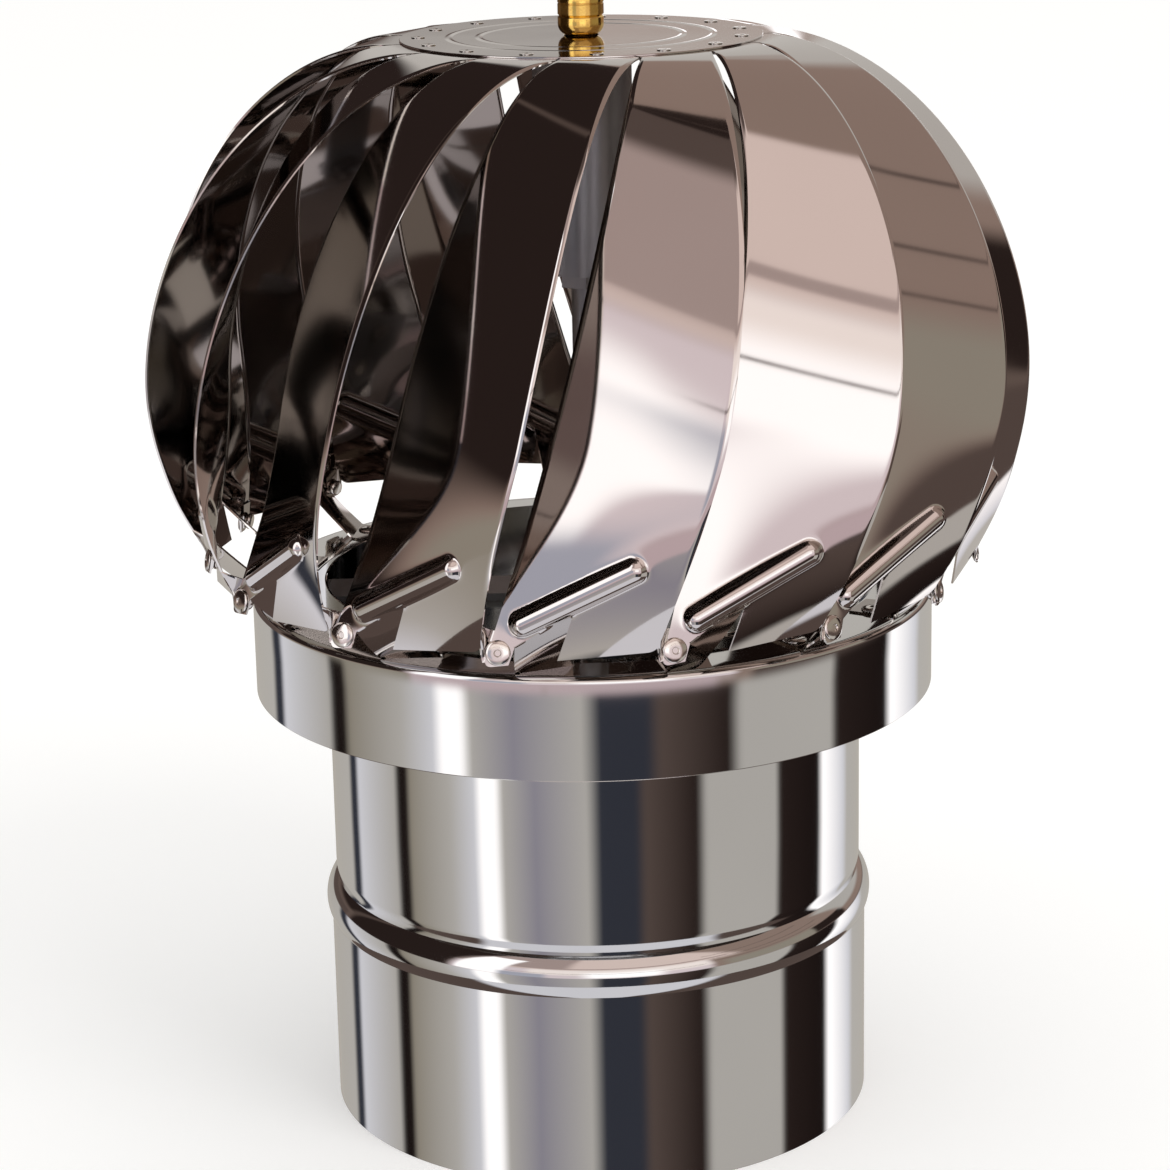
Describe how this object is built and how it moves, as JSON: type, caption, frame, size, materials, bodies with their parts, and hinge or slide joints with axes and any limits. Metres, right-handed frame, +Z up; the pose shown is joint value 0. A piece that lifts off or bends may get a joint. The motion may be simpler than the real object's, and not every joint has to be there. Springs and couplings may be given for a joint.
{
  "type": "roof turbine ventilator",
  "caption": "Round flue ventilator whose head of curved overlapping vanes turns in the wind on a fixed spindle above a short pipe neck.",
  "frame": {"origin": "centre of the neck's lower edge, on the spindle axis", "axes": "+Z up along the spindle, -Y towards the picture's camera, +X to the right in the picture"},
  "size_m": [0.2374, 0.2375, 0.3105],
  "materials": {
    "polished_steel": "mirror-polished stainless steel sheet",
    "rivet_steel": "bright stainless steel",
    "zinc_steel": "zinc-plated steel",
    "bearing_steel": "ground bearing steel",
    "black_rubber": "matt",
    "brass": "turned brass"
  },
  "bodies": {
    "base": {"neck_pipe": "polished_steel", "upper_bridge": "zinc_steel", "lower_bridge": "zinc_steel", "bridge_rivets": "rivet_steel", "spindle": "zinc_steel", "bridge_nuts": "zinc_steel", "bridge_washers": "zinc_steel", "bearing_support_nut": "zinc_steel", "lower_bearing_inner_ring": "bearing_steel", "bearing_spacer": "zinc_steel", "upper_bearing_inner_ring": "bearing_steel", "top_washer": "zinc_steel", "brass_nut": "brass", "brass_cap_nut": "brass"},
    "rotor": {"drum": "polished_steel", "top_disc": "polished_steel", "hub_tube": "zinc_steel", "hub_clips": "bearing_steel", "lower_bearing_outer_ring": "bearing_steel", "upper_bearing_outer_ring": "bearing_steel", "lower_bearing_seals": "black_rubber", "upper_bearing_seals": "black_rubber", "corner_rivets": "rivet_steel", "foot_rivets": "rivet_steel", "rim_rivets": "rivet_steel", "blade_01": "polished_steel", "blade_02": "polished_steel", "blade_03": "polished_steel", "blade_04": "polished_steel", "blade_05": "polished_steel", "blade_06": "polished_steel", "blade_07": "polished_steel", "blade_08": "polished_steel", "blade_09": "polished_steel", "blade_10": "polished_steel", "blade_11": "polished_steel", "blade_12": "polished_steel", "blade_13": "polished_steel", "blade_14": "polished_steel", "blade_15": "polished_steel"}
  },
  "joints": [
    {"name": "rotor_spin", "type": "hinge", "parent": "base", "child": "rotor", "pos_m": [0, 0, 0], "axis": [0, 0, 1], "continuous": true}
  ]
}
